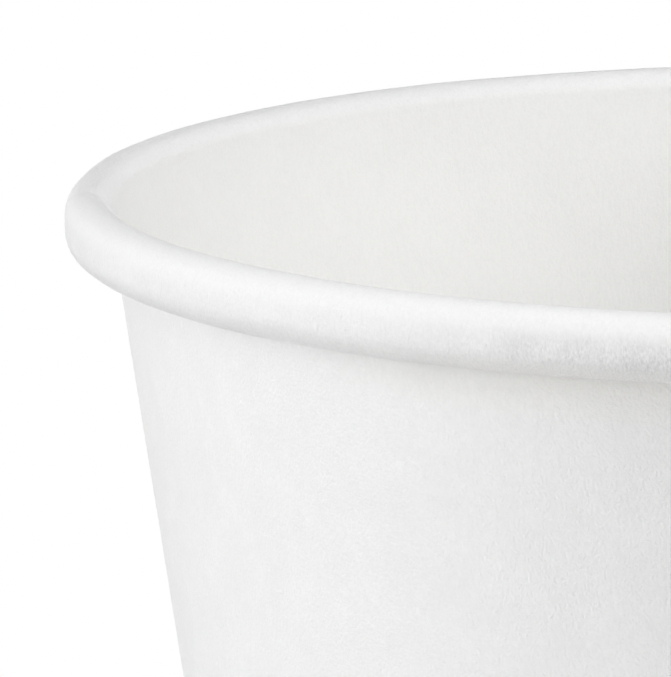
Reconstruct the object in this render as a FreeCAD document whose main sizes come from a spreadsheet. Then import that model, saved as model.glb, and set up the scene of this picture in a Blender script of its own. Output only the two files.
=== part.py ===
"""A single-wall paper soup bowl: a rolled and lapped side wall, and a punched base disc
whose skirt is clamped in the wall's bottom hem.

The origin is on the bowl's axis, on the plane that the foot stands on. +Z is up.
"""
import FreeCAD, Part
import enum
import math
import os
import Sketcher

# ---------------------------------------------------------------- driving dimensions
# Millimetres and degrees. Every one is a cell of the sheet "sizes".
SIZES = {
    "rim_diameter": 115.0,      # over the rolled rim
    "foot_diameter": 91.5,      # outside of the wall's cone on the standing plane
    "bowl_height": 62.0,        # standing plane to the top of the rim
    "board": 0.40,              # thickness of the coated paperboard
    "crown_radius": 1.80,       # outside of the rim's top bend
    "rim_drop": 1.00,           # straight stretch on the outside of the rim
    "roll_gap": 0.10,           # air between the wall and the rolled-in edge
    "tuck_turn": 60.0,          # how far the cut edge turns on inside the rim
    "fold_radius": 0.05,        # inside of the two bends under the hem
    "hem_height": 5.0,          # standing plane to the hem's cut edge
    "seal_gap": 0.05,           # melted coating on each side of the skirt
    "base_lift": 6.5,           # standing plane to the underside of the base
    "corner_radius": 0.90,      # outside bend between base and skirt
    "skirt_clear": 0.30,        # skirt's cut edge above the inside of the fold
    "seam_place": 25.0,         # turn of the side seam about the axis, from +X
    "seam_lap": 8.0,            # width of the double layer, along the rim
    "seam_ramp": 3.0,           # width over which the upper layer comes down again
    "edge_width": 0.50,         # line along the lower layer's cut edge, on the inside
    "edge_depth": 0.12,
}

# ---------------------------------------------------------------- worked-out dimensions
# Properties of the variable set "worked", in the order in which they build on each other.
LENGTH = "App::PropertyFloat"
ANGLE = "App::PropertyAngle"
WORKED = {
    # from the wall's corner on the standing plane to the centre of the rim's top bend
    "crown_out": (LENGTH, "sizes.rim_diameter / 2 - sizes.crown_radius - sizes.foot_diameter / 2"),
    "crown_up": (LENGTH, "sizes.bowl_height - sizes.crown_radius"),
    "crown_away": (LENGTH, "hypot(worked.crown_out; worked.crown_up)"),
    # the wall's outer face touches the inside of that bend
    "lean": (ANGLE, "atan(worked.crown_out / worked.crown_up)"
                    " - asin((sizes.crown_radius - sizes.board) / worked.crown_away)"),
    "wall_slant": (LENGTH, "sqrt(worked.crown_away ^ 2 - (sizes.crown_radius - sizes.board) ^ 2)"),
    # lower bend of the rim, which ends one roll gap away from the wall
    "roll_radius": (LENGTH, "(sizes.crown_radius * (1 + cos(worked.lean)) - sizes.board - sizes.roll_gap"
                            " + sizes.rim_drop * sin(worked.lean)) / (1 + cos(worked.lean))"),
    "roll_rise": (LENGTH, "sizes.rim_drop * cos(worked.lean)"
                          " - (sizes.crown_radius - worked.roll_radius) * sin(worked.lean)"),
    "tuck_radius": (LENGTH, "sizes.crown_radius - sizes.board - sizes.roll_gap"),
    # the hem: wall, skirt and folded edge side by side, and the bends' tangent lengths
    "hem_thickness": (LENGTH, "3 * sizes.board + 2 * sizes.seal_gap"),
    "heel_reach": (LENGTH, "(sizes.fold_radius + sizes.board) * tan(45 deg - worked.lean / 2)"),
    "toe_reach": (LENGTH, "(sizes.fold_radius + sizes.board) * tan(45 deg + worked.lean / 2)"),
    "foot_flat": (LENGTH, "worked.hem_thickness / cos(worked.lean)"
                          " - worked.heel_reach - worked.toe_reach"),
    # the base: where its top would meet the skirt's outer face, and that bend's tangent length
    "base_top": (LENGTH, "sizes.base_lift + sizes.board"),
    "base_edge": (LENGTH, "sizes.foot_diameter / 2 + worked.base_top * tan(worked.lean)"
                          " - (sizes.board + sizes.seal_gap) / cos(worked.lean)"),
    "corner_reach": (LENGTH, "sizes.corner_radius * tan(45 deg + worked.lean / 2)"),
    # the side seam, as turns about the axis
    "lap_turn": (ANGLE, "2 * asin(sizes.seam_lap / sizes.rim_diameter)"),
    "ramp_turn": (ANGLE, "2 * asin(sizes.seam_ramp / sizes.rim_diameter)"),
    "edge_turn": (ANGLE, "2 * asin(sizes.edge_width / sizes.rim_diameter)"),
}

Vector = FreeCAD.Vector
Constraint = Sketcher.Constraint


class At(enum.IntEnum):
    """Which point of a sketch element a constraint holds."""
    START = 1
    END = 2
    CENTRE = 3


doc = FreeCAD.newDocument("soup_bowl")

sheet = doc.addObject("Spreadsheet::Sheet", "sizes")
for row, (alias, value) in enumerate(SIZES.items(), start=1):
    sheet.set(f"A{row}", alias)
    sheet.set(f"B{row}", str(value))
    sheet.setAlias(f"B{row}", alias)
doc.recompute()

worked = doc.addObject("App::VarSet", "worked")
for name, (kind, formula) in WORKED.items():
    worked.addProperty(kind, name, "Worked out")
    worked.setExpression(name, formula)
doc.recompute()


def number(formula):
    """The present value of a formula, in millimetres or degrees."""
    value = worked.evalExpression(formula)
    return value.Value if hasattr(value, "Value") else float(value)


def bind(sketch, name, formula, kind, *elements):
    """Add a dimension to the sketch and tie it to a formula."""
    value = number(formula)
    if kind == "Angle":
        value = math.radians(value)
    sketch.addConstraint(Constraint(kind, *elements, value))
    index = sketch.ConstraintCount - 1
    sketch.renameConstraint(index, name)
    sketch.setExpression(f"Constraints.{name}", formula)


def half_section(body, name, turn=None):
    """A sketch on the body's XZ plane, with the bowl's axis as its V axis.

    A turn swings that plane about the axis.
    """
    sketch = body.newObject("Sketcher::SketchObject", name)
    plane = next(item for item in body.Origin.OriginFeatures if item.Role == "XZ_Plane")
    sketch.AttachmentSupport = (plane, "")
    sketch.MapMode = "FlatFace"
    if turn:
        axis = Vector(0, 1, 0)
        sketch.AttachmentOffset = FreeCAD.Placement(Vector(), FreeCAD.Rotation(axis, number(turn)))
        sketch.setExpression("AttachmentOffset.Rotation.Angle", turn)
    return sketch


def draw_face(sketch, point, heading, path, offset):
    """Draw one face of a strip: tangent lines and arcs, a given offset to the right of the path.

    Each item of the result is an element with the ends at which the path enters and leaves it.
    """
    drawn = []
    for kind, size, turn in path:
        along = Vector(math.cos(heading), math.sin(heading), 0)
        left = Vector(-along.y, along.x, 0)
        if kind == "line":
            target = point + along * number(size)
            shape = Part.LineSegment(point, target)
            ends = (At.START, At.END)
        else:
            sweep = math.radians(number(turn))
            side = 1 if kind == "left" else -1
            radius = number(size) + side * offset
            centre = point + left * (side * radius)
            begin = heading - side * math.pi / 2
            finish = begin + side * sweep
            circle = Part.Circle(centre, Vector(0, 0, 1), radius)
            shape = Part.ArcOfCircle(circle, min(begin, finish), max(begin, finish))
            ends = (At.START, At.END) if side > 0 else (At.END, At.START)
            target = centre + Vector(math.cos(finish), math.sin(finish), 0) * radius
            heading += side * sweep
        drawn.append((sketch.addGeometry(shape), *ends))
        point = target
    for (first, _, leave), (second, enter, _) in zip(drawn, drawn[1:]):
        sketch.addConstraint(Constraint("Tangent", first, leave, second, enter))
    return drawn


def draw_strip(sketch, place, heading, path, width):
    """Draw the section of a bent strip, and dimension it.

    place is where the left face of the path starts, as formulas along H and V, and heading is
    the direction in which it sets out. path lists ("line", length, None) and
    ("left" or "right", radius of the left face, turn). width lies to the right of the path.
    """
    start = Vector(number(place[0]), number(place[1]), 0)
    angle = math.radians(number(heading))
    right = Vector(math.sin(angle), -math.cos(angle), 0)
    near = draw_face(sketch, start, angle, path, 0)
    far = draw_face(sketch, start + right * number(width), angle, path, number(width))

    for end in (0, -1):
        side = 1 if end == 0 else 2
        (inner, outer) = (near[end], far[end])
        first = point_of(sketch, inner[0], inner[side])
        last = point_of(sketch, outer[0], outer[side])
        cap = sketch.addGeometry(Part.LineSegment(first, last))
        sketch.addConstraint(Constraint("Coincident", cap, At.START, inner[0], inner[side]))
        sketch.addConstraint(Constraint("Coincident", cap, At.END, outer[0], outer[side]))
        if path[end][0] == "line":
            sketch.addConstraint(Constraint("Perpendicular", cap, inner[0]))
            bind(sketch, f"width_{side}", width, "Distance", cap)
        else:
            sketch.addConstraint(Constraint("PointOnObject", inner[0], At.CENTRE, cap))

    bind(sketch, "place_out", place[0], "DistanceX", near[0][0], near[0][1])
    bind(sketch, "place_up", place[1], "DistanceY", near[0][0], near[0][1])
    bind(sketch, "heading", heading, "Angle", near[0][0])
    for step, (kind, size, turn) in enumerate(path):
        (inner, outer) = (near[step][0], far[step][0])
        if kind == "line":
            bind(sketch, f"length_{step}", size, "Distance", inner)
        else:
            sign = "+" if kind == "left" else "-"
            sketch.addConstraint(Constraint("Coincident", inner, At.CENTRE, outer, At.CENTRE))
            bind(sketch, f"radius_{step}", size, "Radius", inner)
            bind(sketch, f"far_radius_{step}", f"{size} {sign} {width}", "Radius", outer)
            bind(sketch, f"turn_{step}", turn, "Angle", inner)


def point_of(sketch, element, end):
    """The start or end point of a drawn element."""
    shape = sketch.Geometry[element]
    return shape.StartPoint if end == At.START else shape.EndPoint


def revolve(body, kind, name, sketch, turn):
    """Turn a half section about the bowl's axis, to the left of its own plane."""
    feature = body.newObject(f"PartDesign::{kind}", name)
    feature.Profile = sketch
    feature.ReferenceAxis = (sketch, ["V_Axis"])
    feature.setExpression("Angle", turn)
    sketch.Visibility = False
    return feature


# ---------------------------------------------------------------- side wall
UP_WALL = "90 deg - worked.lean"
DOWN_WALL = "-90 deg - worked.lean"
SEAM = "sizes.seam_place * 1 deg"
LAP_END = SEAM + " + worked.lap_turn"
RAMP_END = LAP_END + " + worked.ramp_turn"


def on_wall(up, depth):
    """A point of the leaning wall: up its outer face from the standing plane, then inward."""
    out = f"sizes.foot_diameter / 2 + ({up}) * sin(worked.lean) - ({depth}) * cos(worked.lean)"
    rise = f"({up}) * cos(worked.lean) + ({depth}) * sin(worked.lean)"
    return out, rise


wall = doc.addObject("PartDesign::Body", "SideWall")
wall.Label = "side_wall"

# The whole section of the board, from the hem's cut edge down round the foot, up the wall
# and round the rolled rim to the edge that is tucked inside it.
section = half_section(wall, "WallSection")
draw_strip(
    section,
    place=on_wall(
        "(sizes.hem_height - worked.hem_thickness * sin(worked.lean)) / cos(worked.lean)",
        "worked.hem_thickness - sizes.board",
    ),
    heading=DOWN_WALL,
    path=[
        ("line", "sizes.hem_height / cos(worked.lean) - worked.toe_reach", None),
        ("left", "sizes.fold_radius", "90 deg + worked.lean"),
        ("line", "worked.foot_flat", None),
        ("left", "sizes.fold_radius", "90 deg - worked.lean"),
        ("line", "worked.wall_slant - worked.heel_reach", None),
        ("right", "sizes.crown_radius", "180 deg - worked.lean"),
        ("line", "sizes.rim_drop", None),
        ("right", "worked.roll_radius", "180 deg + worked.lean"),
        ("line", "worked.roll_rise", None),
        ("right", "worked.tuck_radius", "sizes.tuck_turn * 1 deg"),
    ],
    width="sizes.board",
)
revolve(wall, "Revolution", "RolledWall", section, "360 deg")

# The upper layer of the lapped side seam. It starts above the foot's bend, runs up under the
# rim and ends inside the roll. Half a board of its width lies in the wall that it covers.
lap_start = on_wall("worked.heel_reach", "sizes.board / 2")
lap_path = [("line", "worked.wall_slant - worked.heel_reach - worked.roll_rise / 2", None)]
lap = half_section(wall, "LapSection", SEAM)
draw_strip(lap, lap_start, UP_WALL, lap_path, "1.5 * sizes.board")
revolve(wall, "Revolution", "SeamLap", lap, "worked.lap_turn")

# Beyond the lower layer's cut edge the upper one comes down to the line of the wall.
ramp_high = half_section(wall, "RampHigh", LAP_END)
draw_strip(ramp_high, lap_start, UP_WALL, lap_path, "1.5 * sizes.board")
ramp_low = half_section(wall, "RampLow", RAMP_END)
draw_strip(ramp_low, lap_start, UP_WALL, lap_path, "0.4 * sizes.board")
ramp = wall.newObject("PartDesign::AdditiveLoft", "SeamRamp")
ramp.Profile = ramp_high
ramp.Sections = [ramp_low]
ramp.Ruled = True

# The lower layer's cut edge leaves a fine line up the inside and over the rim.
edge = half_section(wall, "EdgeSection", LAP_END)
draw_strip(
    edge,
    place=on_wall("sizes.base_lift", "sizes.board + sizes.edge_depth"),
    heading=UP_WALL,
    path=[
        ("line", "worked.wall_slant - sizes.base_lift", None),
        ("right", "sizes.crown_radius + sizes.edge_depth", "180 deg - worked.lean"),
        ("line", "sizes.rim_drop / 2", None),
    ],
    width="2 * sizes.edge_depth",
)
revolve(wall, "Groove", "SeamEdge", edge, "worked.edge_turn")

# ---------------------------------------------------------------- base disc
base = doc.addObject("PartDesign::Body", "BaseDisc")
base.Label = "base_disc"

# The disc lies flat and turns down into a skirt, which stands in the hem between the wall
# and its folded edge, a film of coating away from both.
base_section = half_section(base, "BaseSection")
draw_strip(
    base_section,
    place=("0", "worked.base_top"),
    heading="0 deg",
    path=[
        ("line", "worked.base_edge - worked.corner_reach", None),
        ("right", "sizes.corner_radius", "90 deg + worked.lean"),
        ("line", "(worked.base_top - sizes.board - sizes.skirt_clear) / cos(worked.lean)"
                 " - worked.corner_reach", None),
    ],
    width="sizes.board",
)
revolve(base, "Revolution", "DiscAndSkirt", base_section, "360 deg")

# ---------------------------------------------------------------- check and write
doc.recompute()
for item in doc.Objects:
    if "Invalid" in item.State or "Error" in item.State:
        raise RuntimeError(f"{item.Name} is {item.State}")

os.makedirs("parts", exist_ok=True)
for body in (wall, base):
    shape = body.Shape
    if shape.isNull() or not shape.isValid():
        raise RuntimeError(f"{body.Label} has no valid shape")
    shape.exportStep(f"parts/{body.Label}.step")
    print(f"{body.Label}: {len(shape.Solids)} solid, {shape.Volume:.1f} mm3, {shape.BoundBox}")
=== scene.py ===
import math
import bpy
import bmesh
from mathutils import Matrix, Vector


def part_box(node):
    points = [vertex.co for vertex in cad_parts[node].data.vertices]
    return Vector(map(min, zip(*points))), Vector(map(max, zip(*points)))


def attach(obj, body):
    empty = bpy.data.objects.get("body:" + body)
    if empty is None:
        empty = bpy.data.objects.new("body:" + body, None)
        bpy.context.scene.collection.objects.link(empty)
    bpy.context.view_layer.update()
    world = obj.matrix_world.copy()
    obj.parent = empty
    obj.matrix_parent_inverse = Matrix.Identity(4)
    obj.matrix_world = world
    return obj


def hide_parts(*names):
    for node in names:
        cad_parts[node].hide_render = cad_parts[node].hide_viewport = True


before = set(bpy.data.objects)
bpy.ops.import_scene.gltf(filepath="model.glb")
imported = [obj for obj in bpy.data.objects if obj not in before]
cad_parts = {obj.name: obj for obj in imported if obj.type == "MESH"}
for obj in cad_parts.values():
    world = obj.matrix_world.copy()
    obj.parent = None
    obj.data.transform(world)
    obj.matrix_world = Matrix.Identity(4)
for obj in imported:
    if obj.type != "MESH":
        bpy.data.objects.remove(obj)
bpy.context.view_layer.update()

# the CAD model's own box, and the two nodes that the new pieces stand for
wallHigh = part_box("side_wall")[1]
baseLow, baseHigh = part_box("base_disc")
rimOut = wallHigh.x
rimTop = wallHigh.z
print("frame loaded: bowl", round(rimOut * 2000, 1), "mm over the rim,", round(rimTop * 1000, 1), "mm tall")


# finishes of the board's two faces and of its cut edge; their nodes come after the pieces
coatedBoard = bpy.data.materials.new("coatedBoard")
uncoatedBoard = bpy.data.materials.new("uncoatedBoard")
cutBoardEdge = bpy.data.materials.new("cutBoardEdge")

samePlace = 0.000001  # points nearer than this are one point
smoothAngle = math.radians(35)  # only sharper corners show as an edge


def deselectAll():
    if bpy.context.object and bpy.context.object.mode != "OBJECT":
        bpy.ops.object.mode_set(mode="OBJECT")
    bpy.ops.object.select_all(action="DESELECT")


def startPoint(name, x, z, finishes):
    # a plane merged to one vertex on the XZ plane, where a board's section begins
    deselectAll()
    bpy.ops.mesh.primitive_plane_add(size=0.001, location=(x, 0, z))
    piece = bpy.context.object
    piece.name = name
    piece.data.name = name
    for finish in finishes:
        piece.data.materials.append(finish)
    bpy.ops.object.transform_apply(location=True, rotation=True, scale=True)
    bpy.ops.object.mode_set(mode="EDIT")
    bpy.ops.mesh.select_mode(type="VERT")
    bpy.ops.mesh.select_all(action="SELECT")
    bpy.ops.mesh.merge(type="CENTER")
    return piece


def straightRun(heading, length, parts):
    # extrude the end vertex; heading 0 points away from the axis, 90 degrees points up
    step = length / parts
    for _ in range(parts):
        move = (math.cos(heading) * step, 0, math.sin(heading) * step)
        bpy.ops.mesh.extrude_region_move(TRANSFORM_OT_translate={"value": move})


def bend(centre, turn, parts):
    # spin the end vertex about a point of the section; a positive turn is counterclockwise there
    bpy.ops.mesh.spin(steps=parts, angle=turn, center=(centre[0], 0, centre[1]), axis=(0, 1, 0))


def endPoint(piece):
    shape = bmesh.from_edit_mesh(piece.data)
    place = next(v.co.copy() for v in shape.verts if v.select)
    return place.x, place.z


def sideTurn(heading):
    # unit step to the right of a heading, which is the uncoated side of the board
    return math.sin(heading), -math.cos(heading)


def sweepRound(turn, steps):
    # turn the selected section about the bowl's axis; a positive turn runs counterclockwise from above
    bpy.ops.mesh.spin(steps=steps, angle=-turn, center=(0, 0, 0), axis=(0, 0, 1))


def pickVerts(piece, test):
    bpy.ops.mesh.select_mode(type="VERT")
    bpy.ops.mesh.select_all(action="DESELECT")
    shape = bmesh.from_edit_mesh(piece.data)
    for vert in shape.verts:
        vert.select = test(vert.co)
    shape.select_flush(True)
    bmesh.update_edit_mesh(piece.data)


def columnTest(degrees, reach):
    # true for the points within reach of one column of the swept board, this far round from +X
    outX, outY = math.cos(math.radians(degrees)), math.sin(math.radians(degrees))
    return lambda co: abs(co.x * outY - co.y * outX) < reach and co.x * outX + co.y * outY > 0


def startWeights(piece, name):
    bpy.ops.object.vertex_group_add()
    piece.vertex_groups[-1].name = name


def weighPicked(weight):
    # set this weight on the picked vertices, in the group that was started last
    bpy.context.scene.tool_settings.vertex_group_weight = weight
    bpy.ops.object.vertex_group_assign()


def pushOut(piece, weights, distance, direction="NORMAL"):
    # move the points of a weight group out from the sheet, or along an axis
    push = piece.modifiers.new(weights, "DISPLACE")
    push.vertex_group = weights
    push.direction = direction
    push.mid_level = 0
    push.strength = distance
    return push


def finishBoard(piece, thickness, side):
    # side 1 thickens the sheet on the side that it faces, and -1 behind it; the piece's three
    # finishes are for the side that the sheet faces, for its back and for the cut edges
    thick = piece.modifiers.new("board", "SOLIDIFY")
    thick.thickness = thickness
    thick.offset = side
    thick.material_offset = 1
    thick.material_offset_rim = 2
    bpy.ops.object.mode_set(mode="OBJECT")
    for modifier in list(piece.modifiers):
        bpy.ops.object.modifier_apply(modifier=modifier.name)
    bpy.ops.object.shade_smooth_by_angle(angle=smoothAngle)


# side wall: one blank, from the hem's cut edge round the foot, up the cone and round the rolled rim
wall = dict(
    board=0.0004,
    footRadius=0.04575,  # outside of the cone on the standing plane
    crown=0.0018,  # outer radius of the rim's top bend
    drop=0.00122,  # straight stretch on the outside of the rim
    rollGap=0.0001,  # between the roll's cut edge and the cone
    tuck=math.radians(60),  # how far the cut edge is turned in under the top bend
    fold=0.00005,  # inner radius of the hem's bends
    hemHeight=0.005,
    seal=0.00005,  # coating on either side of the skirt in the hem
    # edges in each stretch of the section
    parts=dict(hem=4, foot=1, cone=26, fold=4, crown=22, drop=2, roll=20, rise=2, tuck=5),
    seamPlace=25,  # degrees from +X to the upper layer's cut edge
    lap=8,  # degrees of double board
    ramp=3,  # degrees over which the upper layer comes down
    layerLift=0.00042,  # how far out the upper layer lies
    liftFrom=0.0015,  # height over the table from which the upper layer is lifted
    rimReach=0.006,  # how far down the rim's unevenness and settling reach
    waves=((0.00006, 0.008), (0.00003, 0.0028)),  # unevenness of the rolled rim: height and size
    columnReach=0.0003,  # width on either side of a column that still counts as the column
    creasePlace=188,  # degrees from +X to the small crease that crosses the rim
    creaseDepth=0.00035,
    creaseDown=0.0018,  # how far down from the top it reaches
    # distance in from the rim's outside, and the share of the depth from there on
    creaseBands=((0.0010, 0.2), (0.0014, 0.5), (0.0018, 0.8), (0.0022, 1.0)),
    creaseSides=0.25,  # share of the depth in the columns next to the middle one
    settle=0.00020,  # how much lower the rim sits just beyond the crease
    settleRun=55,  # degrees over which it comes back up
    settleStart={-1: 0.35, 0: 0.80},  # share of it in the two columns that lead down
    settleFirst=0.55,  # share of it that comes back early
    firstSpan=(10, 18),  # degrees beyond the crease over which that share comes back
)


def wallLean():
    # angle between the cone and the axis, from the foot to the top bend of the rim
    out, up = rimOut - wall["crown"] - wall["footRadius"], rimTop - wall["crown"]
    return math.atan(out / up) - math.asin((wall["crown"] - wall["board"]) / math.hypot(out, up))


def drawWallSection():
    # the coated face is drawn, and the board is added on the other side of it
    board, crown, parts = wall["board"], wall["crown"], wall["parts"]
    crownX, crownZ = rimOut - crown, rimTop - crown
    lean = wallLean()
    slant = math.sqrt((crownX - wall["footRadius"]) ** 2 + crownZ**2 - (crown - board) ** 2)
    across = crown * (1 + math.cos(lean)) - board - wall["rollGap"] + wall["drop"] * math.sin(lean)
    roll = across / (1 + math.cos(lean))
    rollRise = wall["drop"] * math.cos(lean) - (crown - roll) * math.sin(lean)
    hem = 3 * board + 2 * wall["seal"]
    outerFold = wall["fold"] + board
    heel = outerFold * math.tan(math.pi / 4 - lean / 2)
    toe = outerFold * math.tan(math.pi / 4 + lean / 2)

    # up and depth place the start, which is the cut edge of the hem's inner leg
    up = (wall["hemHeight"] - hem * math.sin(lean)) / math.cos(lean)
    depth = hem - board
    x = wall["footRadius"] + up * math.sin(lean) - depth * math.cos(lean)
    z = up * math.cos(lean) + depth * math.sin(lean)
    piece = startPoint("sideWallBoard", x, z, (uncoatedBoard, coatedBoard, cutBoardEdge))

    heading = -math.pi / 2 - lean
    straightRun(heading, wall["hemHeight"] / math.cos(lean) - toe, parts["hem"])
    foot = hem / math.cos(lean) - heel - toe
    for turn, length, count in ((math.pi / 2 + lean, foot, parts["foot"]),
                                (math.pi / 2 - lean, slant - heel, parts["cone"])):
        x, z = endPoint(piece)
        rightX, rightZ = sideTurn(heading)
        bend((x - rightX * wall["fold"], z - rightZ * wall["fold"]), turn, parts["fold"])
        heading += turn
        straightRun(heading, length, count)
    bend((crownX, crownZ), -(math.pi - lean), parts["crown"])
    straightRun(-math.pi / 2, wall["drop"], parts["drop"])
    bend((rimOut - roll, crownZ - wall["drop"]), -(math.pi + lean), parts["roll"])
    straightRun(math.pi / 2 - lean, rollRise, parts["rise"])
    bend((crownX, crownZ), -wall["tuck"], parts["tuck"])
    return piece


def sweepWall(piece):
    # turn the section to the end of the ramp and sweep the single layer round to the inner cut edge
    rampEnd = wall["seamPlace"] + wall["lap"] + wall["ramp"]
    bpy.ops.mesh.select_all(action="SELECT")
    bpy.ops.transform.rotate(value=-math.radians(rampEnd), orient_axis="Z", orient_type="GLOBAL",
                             center_override=(0, 0, 0))
    startWeights(piece, "upperLayer")
    sweepRound(math.radians(360 - wall["ramp"]), 360 - wall["ramp"])

    # the other end of the blank goes on over the seam, one degree at a time
    pickVerts(piece, columnTest(rampEnd, samePlace))
    for column in range(1, wall["ramp"] + wall["lap"] + 1):
        sweepRound(math.radians(-1), 1)
        weighPicked(min(1, column / wall["ramp"]))
    pickVerts(piece, lambda co: co.z < wall["liftFrom"])
    bpy.ops.object.vertex_group_remove_from()


def settleShare(beyond):
    # share of the settling in the column this many degrees beyond the crease
    if beyond in wall["settleStart"]:
        return wall["settleStart"][beyond]
    full, gone = wall["firstSpan"]
    first = min(1, max(0, (gone - beyond) / (gone - full)))
    slow = 1 - (beyond / wall["settleRun"]) ** 2
    return wall["settleFirst"] * first + (1 - wall["settleFirst"]) * slow


def weighRim(piece):
    startWeights(piece, "rimRipple")
    pickVerts(piece, lambda co: co.z > rimTop - wall["rimReach"])
    weighPicked(1)

    # the crease runs over the crest and down the inner side; it is deepest in its middle column
    startWeights(piece, "crease")
    lowest = rimTop - wall["creaseDown"]
    for column in (-1, 0, 1):
        inColumn = columnTest(wall["creasePlace"] + column, wall["columnReach"])
        for inwards, share in wall["creaseBands"]:
            radius = rimOut - inwards
            pickVerts(piece, lambda co: co.z > lowest and math.hypot(co.x, co.y) < radius and inColumn(co))
            weighPicked(share * (wall["creaseSides"] if column else 1))

    # on one side of the crease the whole roll sits lower, and comes back up slowly
    startWeights(piece, "settled")
    for beyond in range(min(wall["settleStart"]), wall["settleRun"]):
        inColumn = columnTest(wall["creasePlace"] - beyond, wall["columnReach"])
        pickVerts(piece, lambda co: co.z > rimTop - wall["rimReach"] and inColumn(co))
        weighPicked(settleShare(beyond))


def lookOutwards(piece):
    # the sheet is open, so the largest face says whether all of them have to be flipped
    bpy.ops.mesh.select_all(action="SELECT")
    bpy.ops.mesh.normals_make_consistent(inside=False)
    bpy.ops.object.mode_set(mode="OBJECT")
    largest = max(piece.data.polygons, key=lambda face: face.area)
    if largest.normal.x * largest.center.x + largest.normal.y * largest.center.y < 0:
        bpy.ops.object.mode_set(mode="EDIT")
        bpy.ops.mesh.flip_normals()


def makeWall():
    piece = drawWallSection()
    sweepWall(piece)
    weighRim(piece)
    lookOutwards(piece)
    pushOut(piece, "upperLayer", wall["layerLift"])
    for height, size in wall["waves"]:
        ripple = pushOut(piece, "rimRipple", height)
        ripple.texture = bpy.data.textures.new("rimRipple", "CLOUDS")
        ripple.texture.noise_scale = size
        ripple.texture_coords = "LOCAL"
    pushOut(piece, "settled", -wall["settle"], "Z")
    pushOut(piece, "crease", wall["creaseDepth"])
    finishBoard(piece, wall["board"], 1)
    return piece


wallPiece = makeWall()
print("side wall rolled and lapped:", len(wallPiece.data.polygons), "faces")

# base disc with its skirt, which stands in the hem
base = dict(
    board=0.0004,
    corner=0.0009,  # outer radius of the bend from disc to skirt
    sag=0.0003,  # how far the middle hangs below the edge
    rings=24,  # edges from the middle to the corner
    cornerParts=8,
    skirtParts=4,
    columns=240,
)


def makeBase():
    lean = wallLean()
    cornerX = baseHigh.x - base["corner"]
    cornerZ = baseHigh.z - base["corner"]
    rise = 2 * base["sag"] / cornerX  # slope of the dished face where it meets the corner
    endX = cornerX - base["corner"] * math.sin(rise)
    endZ = cornerZ + base["corner"] * math.cos(rise)
    middleZ = endZ - endX * math.tan(rise) / 2  # the dish is a parabola
    piece = startPoint("baseDiscBoard", 0, middleZ, (coatedBoard, uncoatedBoard, cutBoardEdge))
    for ring in range(base["rings"]):
        slope = rise * (ring + 0.5) / base["rings"]
        straightRun(slope, endX / base["rings"] / math.cos(slope), 1)
    bend((cornerX, cornerZ), -(math.pi / 2 + lean + rise), base["cornerParts"])
    skirt = (endPoint(piece)[1] - baseLow.z) / math.cos(lean)
    straightRun(-math.pi / 2 - lean, skirt, base["skirtParts"])

    bpy.ops.mesh.select_all(action="SELECT")
    sweepRound(math.tau, base["columns"])
    bpy.ops.mesh.select_all(action="SELECT")
    bpy.ops.mesh.remove_doubles(threshold=samePlace)
    bpy.ops.mesh.normals_make_consistent(inside=False)
    bpy.ops.object.mode_set(mode="OBJECT")
    if sum(face.normal.z * face.area for face in piece.data.polygons) < 0:
        bpy.ops.object.mode_set(mode="EDIT")
        bpy.ops.mesh.select_all(action="SELECT")
        bpy.ops.mesh.flip_normals()
    finishBoard(piece, base["board"], -1)
    return piece


basePiece = makeBase()
print("base disc set in the hem:", len(basePiece.data.polygons), "faces")


# shader nodes; x and y only place a node in the editor
def addNode(tree, kind, x, y, **settings):
    node = tree.nodes.new(kind)
    node.location = (x, y)
    for key, value in settings.items():
        setattr(node, key, value)
    return node


def newGroup(name, inputs, outputs):
    group = bpy.data.node_groups.new(name, "ShaderNodeTree")
    for label, value in inputs.items():
        socket = group.interface.new_socket(label, in_out="INPUT", socket_type="NodeSocketFloat")
        socket.default_value = value
    for label in outputs:
        group.interface.new_socket(label, in_out="OUTPUT", socket_type="NodeSocketFloat")
    return group, addNode(group, "NodeGroupInput", -900, 0), addNode(group, "NodeGroupOutput", 900, 0)


def feed(tree, socket, value):
    # link the output of another node, or set a constant; None leaves the socket as it is
    if hasattr(value, "is_output"):
        tree.links.new(value, socket)
    elif value is not None:
        socket.default_value = value


def mathNode(tree, operation, first, second, x, y, clamp=False):
    node = addNode(tree, "ShaderNodeMath", x, y, operation=operation, use_clamp=clamp)
    feed(tree, node.inputs[0], first)
    feed(tree, node.inputs[1], second)
    return node.outputs[0]


def times(tree, first, second, x, y):
    return mathNode(tree, "MULTIPLY", first, second, x, y)


def plus(tree, first, second, x, y):
    return mathNode(tree, "ADD", first, second, x, y)


def vectorNode(tree, operation, first, second, x, y):
    node = addNode(tree, "ShaderNodeVectorMath", x, y, operation=operation)
    feed(tree, node.inputs[0], first)
    feed(tree, node.inputs["Scale" if operation == "SCALE" else 1], second)
    givesNumber = operation in ("LENGTH", "DISTANCE", "DOT_PRODUCT")
    return node.outputs["Value" if givesNumber else "Vector"]


def noiseNode(tree, vector, scale, x, y, detail=1, distortion=0):
    node = addNode(tree, "ShaderNodeTexNoise", x, y)
    for label, value in (("Vector", vector), ("Scale", scale), ("Detail", detail),
                         ("Distortion", distortion)):
        feed(tree, node.inputs[label], value)
    return node.outputs[0]


def spread(tree, value, low, high, x, y, span=(0, 1), smooth=False):
    # low at the start of the span, high at its end
    kind = "SMOOTHSTEP" if smooth else "LINEAR"
    node = addNode(tree, "ShaderNodeMapRange", x, y, interpolation_type=kind)
    for label, number in (("Value", value), ("From Min", span[0]), ("From Max", span[1]),
                          ("To Min", low), ("To Max", high)):
        feed(tree, node.inputs[label], number)
    return node.outputs[0]


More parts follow.
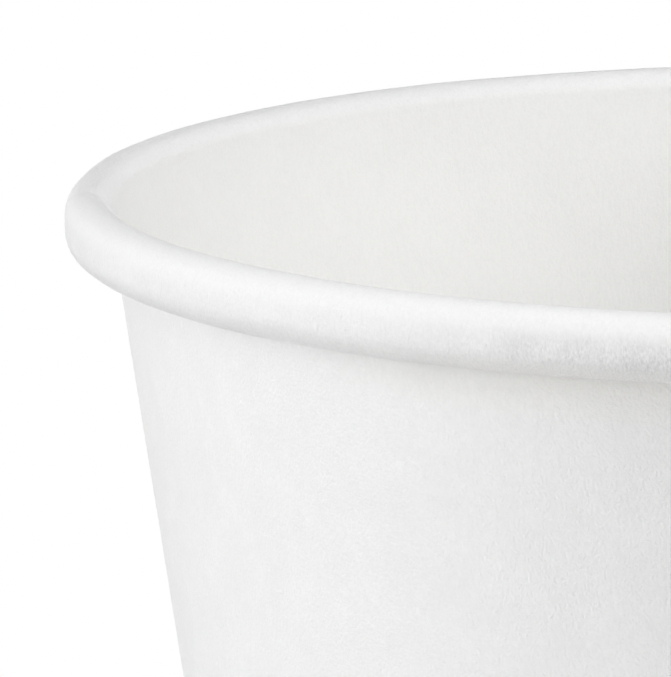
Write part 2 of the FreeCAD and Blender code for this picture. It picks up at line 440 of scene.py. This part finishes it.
def mixColour(tree, factor, first, second, x, y, blend="MIX"):
    node = addNode(tree, "ShaderNodeMix", x, y, data_type="RGBA", blend_type=blend)
    feed(tree, node.inputs["Factor"], factor)
    for socket, value in ((node.inputs[6], first), (node.inputs[7], second)):
        feed(tree, socket, (*value, 1) if isinstance(value, tuple) else value)
    return node.outputs[2]


def aboutAxis(tree, x, y):
    # direction out from the bowl's axis, distance from it, and the three coordinates
    place = addNode(tree, "ShaderNodeTexCoord", x, y).outputs["Object"]
    flat = vectorNode(tree, "MULTIPLY", place, (1, 1, 0), x + 200, y)
    outward = vectorNode(tree, "NORMALIZE", flat, None, x + 400, y + 150)
    radius = vectorNode(tree, "LENGTH", flat, None, x + 400, y)
    apart = addNode(tree, "ShaderNodeSeparateXYZ", x + 200, y - 150)
    tree.links.new(place, apart.inputs[0])
    return outward, radius, apart.outputs


# the pattern in the board: scales are in cells per metre
boardPattern = dict(
    grainScale=5200,
    fineStretch=(1, 1, 0.85),
    streakScale=0.8,  # share of the grain's scale
    streakStretch=(1, 1, 0.25),  # the streaks run up the board
    streakShare=0.6,
    fibreScale=700,
    fibreSwirl=0.7,
    fibreThin=42,  # a higher value makes thinner fibres
    breakScale=1.7,  # share of the fibres' scale, for the noise that cuts them short
    breakSpan=(0.52, 0.66),  # values of that noise at which a fibre begins and is full
    patchScale=230,
    valleySpan=(0.57, 0.93),  # range of the grain, from its valleys to its tops
    cloudSpan=(0.3, 0.7),  # range of the patches
)


def makeGrainGroup():
    # fine grain that runs up the board, short loose fibres, and cloudy patches
    scales = {"Grain Scale": boardPattern["grainScale"], "Fibre Scale": boardPattern["fibreScale"],
              "Patch Scale": boardPattern["patchScale"]}
    group, start, end = newGroup("boardGrain", scales, ["Grain", "Fine", "Fibres", "Patches"])
    place = addNode(group, "ShaderNodeTexCoord", -1500, 0).outputs["Object"]
    grainScale, fibreScale, patchScale = [start.outputs[label] for label in scales]
    fineSpace = vectorNode(group, "MULTIPLY", place, boardPattern["fineStretch"], -1250, 300)
    fine = noiseNode(group, fineSpace, grainScale, -1000, 300, detail=2)
    streakScale = times(group, grainScale, boardPattern["streakScale"], -1250, 100)
    streakSpace = vectorNode(group, "MULTIPLY", place, boardPattern["streakStretch"], -1250, 500)
    streaks = noiseNode(group, streakSpace, streakScale, -1000, 500)
    grain = plus(group, fine, times(group, streaks, boardPattern["streakShare"], -750, 500), -500, 400)
    group.links.new(grain, end.inputs["Grain"])
    group.links.new(fine, end.inputs["Fine"])

    # a fibre lies where a swirled noise is close to its middle value, and is cut short by another noise
    swirl = noiseNode(group, place, fibreScale, -1000, 0, distortion=boardPattern["fibreSwirl"])
    offMiddle = mathNode(group, "ABSOLUTE", mathNode(group, "SUBTRACT", swirl, 0.5, -800, 0), None, -650, 0)
    wide = mathNode(group, "MULTIPLY", offMiddle, boardPattern["fibreThin"], -500, 0, clamp=True)
    line = mathNode(group, "SUBTRACT", 1, wide, -350, 0)
    breakScale = times(group, fibreScale, boardPattern["breakScale"], -1250, -200)
    breaks = noiseNode(group, place, breakScale, -1000, -200)
    whole = spread(group, breaks, 0, 1, -650, -200, boardPattern["breakSpan"])
    group.links.new(times(group, line, whole, -100, -50), end.inputs["Fibres"])
    group.links.new(noiseNode(group, place, patchScale, -1000, -450, detail=3), end.inputs["Patches"])
    return group


creasePattern = dict(
    roundCount=420,  # cells of the flecks in each radian round the rim
    downScale=3500,  # and in each metre down it
    # label, shares of the two scales above, and detail
    kinds=(("Flecks", 1, 1, 2), ("Wrinkles", 0.5, 0.22, 1), ("Waves", 0.027, 0.038, 2)),
    underSpan=(0.0009, 0.0027),  # depth below the rim's top over which the underside begins
    innerSpan=(0.0036, 0.0034),  # distance in from the rim's outside over which it ends
    lowestSpan=(0.0028, 0.0043),  # depth over which its lowest part begins
)


def makeCreaseGroup():
    # flecks and wrinkles that cross the rolled rim, broad waves in it, and masks of its underside
    inputs = {"Round Count": creasePattern["roundCount"], "Down Scale": creasePattern["downScale"],
              "Rim Top": rimTop, "Rim Radius": rimOut}
    group, start, end = newGroup("rimCreases", inputs, ["Flecks", "Wrinkles", "Waves", "Under", "Lowest"])
    roundCount, downScale, top, outside = [start.outputs[label] for label in inputs]
    outward, radius, apart = aboutAxis(group, -1700, 0)
    over = plus(group, radius, apart["Z"], -1100, 100)
    for row, (label, aroundShare, downShare, detail) in enumerate(creasePattern["kinds"]):
        y = 600 - 300 * row
        count = times(group, roundCount, aroundShare, -700, y + 100)
        wide = vectorNode(group, "SCALE", outward, count, -500, y + 100)
        down = addNode(group, "ShaderNodeCombineXYZ", -500, y)
        fall = times(group, over, times(group, downScale, downShare, -900, y), -700, y)
        group.links.new(fall, down.inputs["Z"])
        along = vectorNode(group, "ADD", wide, down.outputs[0], -300, y)
        group.links.new(noiseNode(group, along, 1, -100, y, detail=detail), end.inputs[label])
    below = mathNode(group, "SUBTRACT", top, apart["Z"], -900, -300)
    inside = mathNode(group, "SUBTRACT", outside, radius, -900, -550)
    lowered = spread(group, below, 0, 1, -600, -300, creasePattern["underSpan"], smooth=True)
    outer = spread(group, inside, 0, 1, -600, -550, creasePattern["innerSpan"], smooth=True)
    bottom = spread(group, below, 0, 1, -600, -800, creasePattern["lowestSpan"], smooth=True)
    underside = times(group, lowered, outer, -300, -400)
    lowest = times(group, underside, bottom, -300, -650)
    group.links.new(lowest, end.inputs["Lowest"])
    group.links.new(mathNode(group, "SUBTRACT", underside, lowest, -100, -400), end.inputs["Under"])
    return group


boardGrain = makeGrainGroup()
rimCreases = makeCreaseGroup()


def startShader(material):
    material.use_nodes = True
    tree = material.node_tree
    shader = tree.nodes["Principled BSDF"]
    shader.location = (900, 200)
    tree.nodes["Material Output"].location = (1200, 200)
    return tree, shader


def placeGroup(tree, group, x, y, **values):
    node = addNode(tree, "ShaderNodeGroup", x, y, node_tree=group)
    for label, value in values.items():
        node.inputs[label.replace("_", " ")].default_value = value
    return node.outputs


def cloudyRoughness(tree, grain, finish):
    return spread(tree, grain["Patches"], finish["roughLow"], finish["roughHigh"], 400, 100,
                  boardPattern["cloudSpan"])


def joinSurface(tree, shader, finish, colour, rough, height):
    bump = addNode(tree, "ShaderNodeBump", 650, -250)
    bump.inputs["Strength"].default_value = 1
    bump.inputs["Distance"].default_value = finish["bump"]
    feed(tree, bump.inputs["Height"], height)
    for label, value in (("Base Color", colour), ("Roughness", rough), ("Normal", bump.outputs[0]),
                         ("Specular IOR Level", finish["gloss"])):
        feed(tree, shader.inputs[label], value)


# the front of the bowl, where the painted shade under the roll is strongest and painted warm bounce light
# lies near the roll
front = dict(
    side=(0.28, -0.96, 0),
    bounceSpan=(0.50, 0.78),  # how far a place looks that way, at the start and in full; 1 is straight at it
)

coated = dict(
    grainScale=5200,
    patchScale=260,
    inside=(0.898, 0.895, 0.883),  # tone inside the bowl
    rim=(0.895, 0.894, 0.896),  # tone of the roll
    rimSpan=(0.0037, 0.0033),  # distance in from the rim's outside over which its finish begins
    shade=(0.991, 0.991, 0.991),  # what the cloudy patches leave of the tone
    shadeSpan=(0.62, 0.38),  # values of the patches at which the shade begins and is full
    grainTone=(0.950, 0.950, 0.950),  # what the valleys of the grain leave of it
    grainShare=0.6,  # how strongly the deepest of them take that tone
    paintedShadeTone=(0.660, 0.660, 0.660),  # painted shade, in the wrinkles under the rolled rim
    paintedShadeSpan=(1.2, 0.78),  # sums of flecks and waves at which the painted shade begins and is full
    shadeSideSpan=(0.70, 0.90),  # how far a place looks to the front where the painted shade there begins and is full
    otherSideShade=0.2,  # share of the painted shade that the other sides have
    lowestShade=0.36,  # painted shade at the roll's lowest, which only the other sides have
    lowBounceTint=(1.012, 1.003, 0.991),  # painted warm bounce light at the front of the roll's lowest part
    roughLow=0.52,
    roughHigh=0.62,
    gloss=0.08,
    grainHeight=1.0,  # inside the bowl
    rimGrain=3.6,  # the same on the roll
    fleckHeight=2.2,
    wrinkleHeight=1.2,
    waveHeight=22.0,
    bump=0.000016,  # metres for a height of 1
)


def makeCoated():
    tree, shader = startShader(coatedBoard)
    grain = placeGroup(tree, boardGrain, -1100, 0, Grain_Scale=coated["grainScale"],
                       Patch_Scale=coated["patchScale"])
    crease = placeGroup(tree, rimCreases, -1100, -400, Rim_Top=rimTop, Rim_Radius=rimOut)
    outward, radius, _ = aboutAxis(tree, -1700, 700)
    rimSpan = [rimOut - inwards for inwards in coated["rimSpan"]]
    onRim = spread(tree, radius, 0, 1, -700, 600, rimSpan)
    tone = mixColour(tree, onRim, coated["inside"], coated["rim"], -400, 600)
    shaded = spread(tree, grain["Patches"], 0, 1, -700, 350, coated["shadeSpan"])
    cloudy = mixColour(tree, shaded, tone, coated["shade"], -150, 500, "MULTIPLY")
    valley = spread(tree, grain["Grain"], coated["grainShare"], 0, -400, 200, boardPattern["valleySpan"])
    grainy = mixColour(tree, valley, cloudy, coated["grainTone"], 100, 450, "MULTIPLY")

    # painted shade in the wrinkles under the roll, strongest at the front, where the roll turns from the
    # light; the other sides get it at the roll's lowest
    forwards = vectorNode(tree, "DOT_PRODUCT", outward, front["side"], -1100, -750)
    side = spread(tree, forwards, coated["otherSideShade"], 1, -900, -750, coated["shadeSideSpan"])
    away = mathNode(tree, "SUBTRACT", 1, side, -700, -350)
    atSide = times(tree, crease["Under"], side, -700, -250)
    atLowest = times(tree, crease["Lowest"], times(tree, away, coated["lowestShade"], -600, -400), -500, -350)
    mottle = plus(tree, crease["Flecks"], crease["Waves"], -700, -50)
    shadeMottle = spread(tree, mottle, 0, 1, -500, -50, coated["paintedShadeSpan"])
    paintedShade = times(tree, plus(tree, atSide, atLowest, -350, -250), shadeMottle, -200, 50)
    # painted warm bounce light, at the front of the roll's lowest part
    bounceSide = spread(tree, forwards, 0, 1, -600, -950, front["bounceSpan"])
    paintedBounce = times(tree, crease["Lowest"], bounceSide, -300, -950)
    bounceTinted = mixColour(tree, paintedBounce, grainy, coated["lowBounceTint"], 250, 500, "MULTIPLY")
    # the painted shade darkens the colour under the roll
    colour = mixColour(tree, paintedShade, bounceTinted, coated["paintedShadeTone"], 400, 350)

    grainHeight = spread(tree, onRim, coated["grainHeight"], coated["rimGrain"], -200, -150)
    fine = times(tree, grain["Grain"], grainHeight, 50, -150)
    flecks = times(tree, crease["Flecks"], coated["fleckHeight"], -700, -450)
    wrinkles = times(tree, crease["Wrinkles"], coated["wrinkleHeight"], -700, -600)
    waves = times(tree, crease["Waves"], coated["waveHeight"], -450, -700)
    relief = plus(tree, plus(tree, flecks, wrinkles, -450, -500), waves, -200, -500)
    under = times(tree, relief, crease["Under"], 50, -400)
    height = plus(tree, fine, under, 300, -250)
    joinSurface(tree, shader, coated, colour, cloudyRoughness(tree, grain, coated), height)


uncoated = dict(
    grainScale=4900,
    fibreScale=700,
    patchScale=230,
    light=(0.918, 0.918, 0.918),
    dark=(0.888, 0.888, 0.888),
    darkSpan=(0.70, 0.35),  # values of the patches at which the dark begins and is full
    grainTone=(0.866, 0.866, 0.866),  # in the valleys of the grain
    grainShare=0.7,  # how strongly the deepest of them take that tone
    fibre=(0.945, 0.945, 0.945),
    fibreShare=0.6,  # how strongly the loose fibres show
    highBounceTint=(1.010, 1.003, 0.982),  # painted warm bounce light on the front of the wall, just under the roll
    highBounceSpan=(0.0083, 0.0058),  # depth below the rim's top over which that begins
    roughLow=0.72,
    roughHigh=0.86,
    gloss=0.08,
    grainHeight=3.8,
    fibreHeight=0.45,
    pressHeight=4.0,
    pressCount=196,  # ribs that the sealing tool leaves round the inside of the hem
    pressDeep=(0.0009, 0.0008),  # distance in from the wall's outside where they are full, and gone
    pressFrom=(0.0008, 0.0013),  # heights between which they begin
    pressTo=(0.0045, 0.0040),  # heights between which they end, from the top down
    bump=0.000018,  # metres for a height of 1
)


def pressedRibs(tree, radius, apart):
    # ribs on the face that looks at the axis inside the hem
    around = mathNode(tree, "ARCTAN2", apart["Y"], apart["X"], -1100, -600)
    ribs = mathNode(tree, "SINE", times(tree, around, uncoated["pressCount"], -900, -600), None, -700, -600)
    coneOut = times(tree, apart["Z"], math.tan(wallLean()), -900, -1000)
    footOut = mathNode(tree, "SUBTRACT", radius, coneOut, -700, -900)
    deep = [wall["footRadius"] - inwards for inwards in uncoated["pressDeep"]]
    innerFace = spread(tree, footOut, 1, 0, -500, -900, deep)
    started = spread(tree, apart["Z"], 0, 1, -700, -750, uncoated["pressFrom"])
    unended = spread(tree, apart["Z"], 0, 1, -700, -1150, uncoated["pressTo"])
    height = times(tree, times(tree, started, unended, -500, -750), uncoated["pressHeight"], -300, -850)
    return times(tree, times(tree, ribs, innerFace, -300, -700), height, -100, -750)


def makeUncoated():
    tree, shader = startShader(uncoatedBoard)
    grain = placeGroup(tree, boardGrain, -900, 0, Grain_Scale=uncoated["grainScale"],
                       Fibre_Scale=uncoated["fibreScale"], Patch_Scale=uncoated["patchScale"])
    shade = spread(tree, grain["Patches"], 0, 1, -500, 200, uncoated["darkSpan"])
    cloudy = mixColour(tree, shade, uncoated["light"], uncoated["dark"], -100, 350)
    valley = spread(tree, grain["Grain"], uncoated["grainShare"], 0, -100, 200, boardPattern["valleySpan"])
    grainy = mixColour(tree, valley, cloudy, uncoated["grainTone"], 150, 350)
    loose = times(tree, grain["Fibres"], uncoated["fibreShare"], 150, 100)
    threads = mixColour(tree, loose, grainy, uncoated["fibre"], 400, 350)

    outward, radius, apart = aboutAxis(tree, -1700, -600)
    # painted warm bounce light in the shade on the wall's front just under the roll
    forwards = vectorNode(tree, "DOT_PRODUCT", outward, front["side"], -900, 700)
    bounceSide = spread(tree, forwards, 0, 1, -600, 700, front["bounceSpan"])
    highBounceSpan = [rimTop - down for down in uncoated["highBounceSpan"]]
    high = spread(tree, apart["Z"], 0, 1, -600, 900, highBounceSpan)
    paintedBounce = times(tree, bounceSide, high, -300, 800)
    colour = mixColour(tree, paintedBounce, threads, uncoated["highBounceTint"], 550, 400, "MULTIPLY")

    fine = times(tree, grain["Fine"], uncoated["grainHeight"], -100, -150)
    fibres = times(tree, grain["Fibres"], uncoated["fibreHeight"], -100, -350)
    relief = plus(tree, fine, fibres, 150, -250)
    height = plus(tree, relief, pressedRibs(tree, radius, apart), 400, -350)
    joinSurface(tree, shader, uncoated, colour, cloudyRoughness(tree, grain, uncoated), height)


cutEdge = dict(
    grainScale=7000,
    patchScale=1500,
    light=(0.86, 0.855, 0.84),
    dark=(0.74, 0.73, 0.70),
    rough=0.88,
    gloss=0.05,
    bump=0.00004,  # metres for a height of 1
)


def makeCutEdge():
    tree, shader = startShader(cutBoardEdge)
    grain = placeGroup(tree, boardGrain, -500, 0, Grain_Scale=cutEdge["grainScale"],
                       Patch_Scale=cutEdge["patchScale"])
    colour = mixColour(tree, grain["Patches"], cutEdge["dark"], cutEdge["light"], 300, 250)
    joinSurface(tree, shader, cutEdge, colour, cutEdge["rough"], grain["Grain"])


makeCoated()
makeUncoated()
makeCutEdge()
print("board finishes set")

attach(wallPiece, "root")
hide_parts("side_wall")
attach(basePiece, "root")
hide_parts("base_disc")

# floor: pale, with the bowl's shadow on it, and plain white further off
floor = dict(
    size=8.0,
    height=-0.00005,  # just under the foot
    colour=(0.75, 0.75, 0.75),
    rough=0.9,
    centre=(0.050, -0.035, 0),  # middle of the patch that shows the bowl's shadow
    shadowSpan=(0.090, 0.162),  # distances from there between which the shadow fades to plain white
)


def seenDirectly(tree, x, y):
    # 1 for what the camera sees, also in a reflection or through what is clear
    path = addNode(tree, "ShaderNodeLightPath", x, y)
    seen = mathNode(tree, "MAXIMUM", path.outputs["Is Camera Ray"], path.outputs["Is Glossy Ray"], x + 200, y)
    return mathNode(tree, "MAXIMUM", seen, path.outputs["Is Transmission Ray"], x + 400, y)


def mixShaders(tree, share, first, second, x, y):
    node = addNode(tree, "ShaderNodeMixShader", x, y)
    for socket, source in zip(node.inputs, (share, first.outputs[0], second.outputs[0])):
        tree.links.new(source, socket)
    return node


def makeFloor():
    deselectAll()
    bpy.ops.mesh.primitive_plane_add(size=floor["size"], location=(0, 0, floor["height"]))
    piece = bpy.context.object
    piece.name = "floor"
    bpy.ops.object.transform_apply(location=True, rotation=True, scale=True)
    material = bpy.data.materials.new("paleFloor")
    tree, shader = startShader(material)
    shader.inputs["Base Color"].default_value = (*floor["colour"], 1)
    shader.inputs["Roughness"].default_value = floor["rough"]
    place = addNode(tree, "ShaderNodeTexCoord", -700, 0).outputs["Object"]
    off = vectorNode(tree, "DISTANCE", place, floor["centre"], -500, 0)
    far = spread(tree, off, 0, 1, -300, 0, floor["shadowSpan"], smooth=True)
    plain = addNode(tree, "ShaderNodeEmission", 900, -200)
    plain.inputs["Strength"].default_value = 1
    share = times(tree, far, seenDirectly(tree, -700, -300), 100, -100)
    fromAbove = mixShaders(tree, share, shader, plain, 1200, 100)

    # from below the floor is clear, so that the underside of the bowl can be looked at
    clear = addNode(tree, "ShaderNodeBsdfTransparent", 1200, -200)
    below = addNode(tree, "ShaderNodeNewGeometry", 1200, 400).outputs["Backfacing"]
    surface = mixShaders(tree, below, fromAbove, clear, 1500, 100)
    tree.nodes["Material Output"].location = (1800, 200)
    tree.links.new(surface.outputs[0], tree.nodes["Material Output"].inputs["Surface"])
    piece.data.materials.append(material)


makeFloor()

# lamps: degrees round the bowl from its front towards its left, degrees up, metres off, width in
# metres and watts
lamps = dict(
    lowLeft=(60, 8, 1.60, 0.70, 10.28),
    smallLeft=(88, 18, 0.90, 0.25, 1.517),
    front=(0, 25, 0.90, 0.60, 0.6827),
    right=(-75, 25, 0.90, 0.60, 5.011),
    nearLeft=(40, 40, 0.40, 0.20, 0.2337),
    nearFront=(0, 60, 0.35, 0.20, 0.1147),
    nearTop=(0, 78, 0.33, 0.20, 0.2608),
    under=(0, -90, 0.0347, 0.086, 0.0065),  # lies inside the foot, and shows only from below
)
lampAim = Vector((0, 0, 0.035))
room = dict(colour=(1, 1, 1), fill=0.0)  # the room gives no light, and looks white


def makeLamps():
    for name, (around, up, away, width, watts) in lamps.items():
        around, up = math.radians(around), math.radians(up)
        toLamp = Vector((-math.sin(around) * math.cos(up), -math.cos(around) * math.cos(up), math.sin(up)))
        deselectAll()
        bpy.ops.object.light_add(type="AREA", location=lampAim + toLamp * away)
        lamp = bpy.context.object
        lamp.name = name
        lamp.rotation_euler = toLamp.to_track_quat("Z", "Y").to_euler()
        lamp.data.shape = "DISK"
        lamp.data.size = width
        lamp.data.energy = watts
        lamp.visible_camera = False


def roomBackground(node, strength):
    node.inputs["Color"].default_value = (*room["colour"], 1)
    node.inputs["Strength"].default_value = strength
    return node


def makeRoom():
    world = bpy.data.worlds.new("studio")
    bpy.context.scene.world = world
    world.use_nodes = True
    tree = world.node_tree
    fill = roomBackground(tree.nodes["Background"], room["fill"])
    white = roomBackground(addNode(tree, "ShaderNodeBackground", 0, -200), 1)
    both = mixShaders(tree, seenDirectly(tree, -500, 100), fill, white, 250, 0)
    tree.links.new(both.outputs[0], tree.nodes["World Output"].inputs["Surface"])


makeLamps()
makeRoom()

# camera: low and close to the left half of the rim
camera = dict(
    away=0.430,  # distance from a point on the bowl's axis
    axisHeight=0.060,  # height of that point
    above=math.radians(9.603),  # angle at which the camera stands over it
    turnLeft=math.radians(5.137),
    tiltDown=math.radians(10.916),
    roll=math.radians(-0.612),
    lens=314.0,  # millimetres, as is the sensor
    sensor=36,
    nearest=0.01,
    furthest=50,
)


def makeCamera():
    deselectAll()
    out = camera["away"] * math.cos(camera["above"])
    up = camera["away"] * math.sin(camera["above"])
    bpy.ops.object.camera_add(location=(0, -out, camera["axisHeight"] + up))
    eye = bpy.context.object
    eye.name = "camera"
    turn = Matrix.Rotation(camera["turnLeft"], 3, "Z")
    tilt = Matrix.Rotation(math.pi / 2 - camera["tiltDown"], 3, "X")
    roll = Matrix.Rotation(camera["roll"], 3, "Z")
    eye.rotation_euler = (turn @ tilt @ roll).to_euler()
    eye.data.lens = camera["lens"]
    eye.data.sensor_width = camera["sensor"]
    eye.data.clip_start = camera["nearest"]
    eye.data.clip_end = camera["furthest"]
    bpy.context.scene.camera = eye


makeCamera()
bpy.context.scene.view_settings.view_transform = "Standard"
print("floor, lamps and camera placed")
